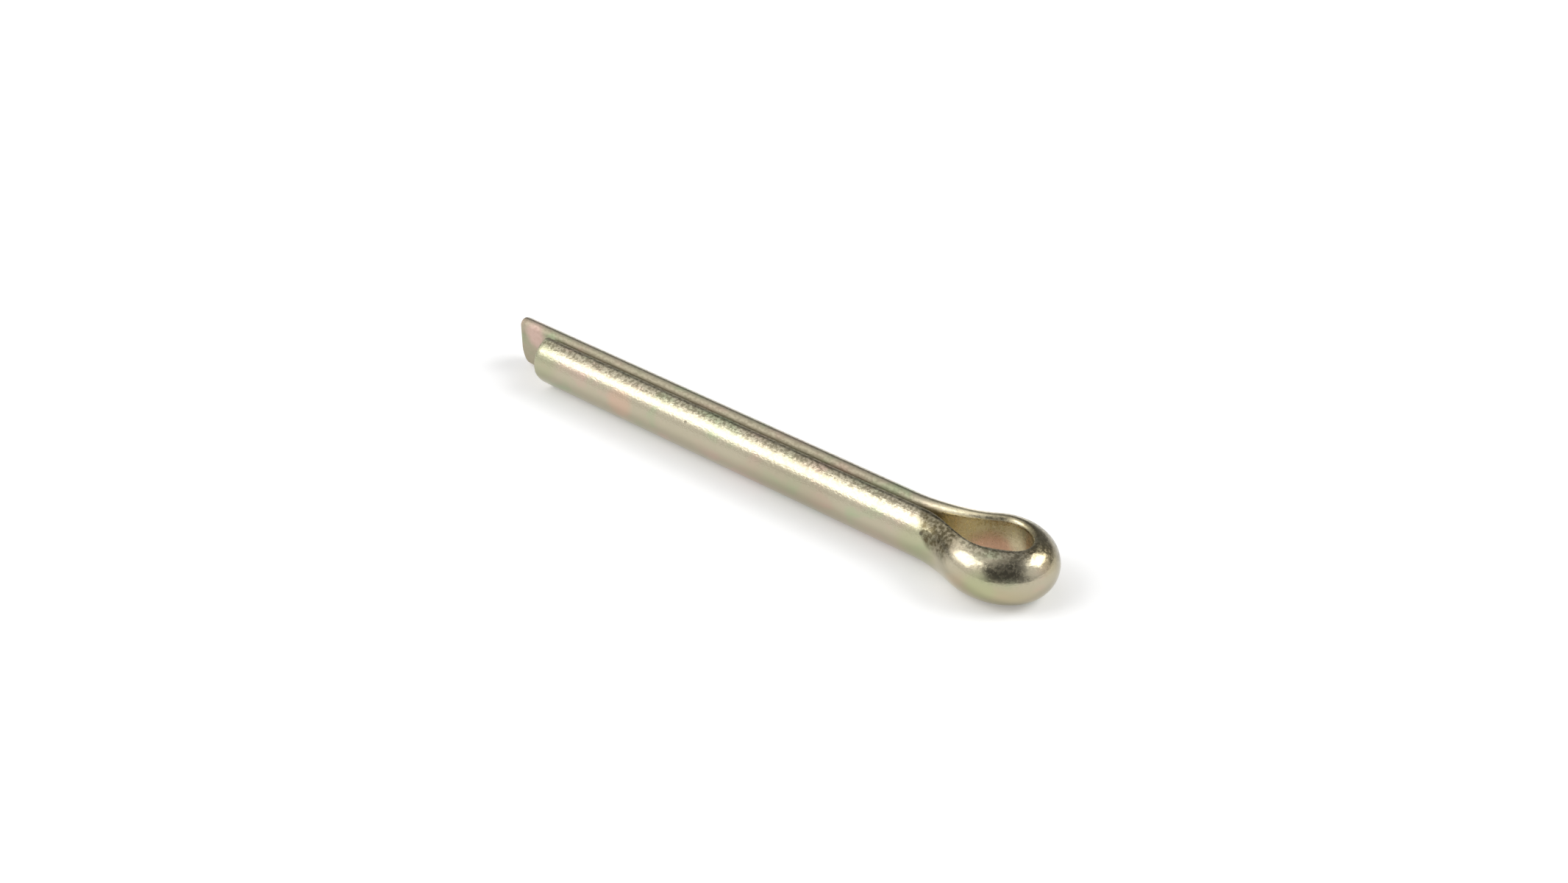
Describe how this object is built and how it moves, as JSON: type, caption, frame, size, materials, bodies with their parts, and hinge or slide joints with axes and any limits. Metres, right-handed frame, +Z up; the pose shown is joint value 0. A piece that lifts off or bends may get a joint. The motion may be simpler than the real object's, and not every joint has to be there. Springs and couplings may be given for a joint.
{
  "type": "cotter pin",
  "caption": "Split cotter pin folded from half-round zinc-plated wire, with a loop eye and two close legs, one longer than the other",
  "frame": {"origin": "on the shank's axis at the shoulder, where the short leg's neck ends and the eye begins", "axes": "X along the shank with the eye at +X and the leg tips at -X; Y across the slit with the long leg at +Y; Z up, square to the plane the wire is folded in; the pin lies flat on its lowest side, z = -2.125 mm"},
  "size_m": [0.0549, 0.0084, 0.0042],
  "materials": {
    "zinc_plated_steel": "zinc plated, pale yellow passivated, satin"
  },
  "bodies": {
    "root": {"cotter_pin": "zinc_plated_steel"}
  },
  "joints": []
}
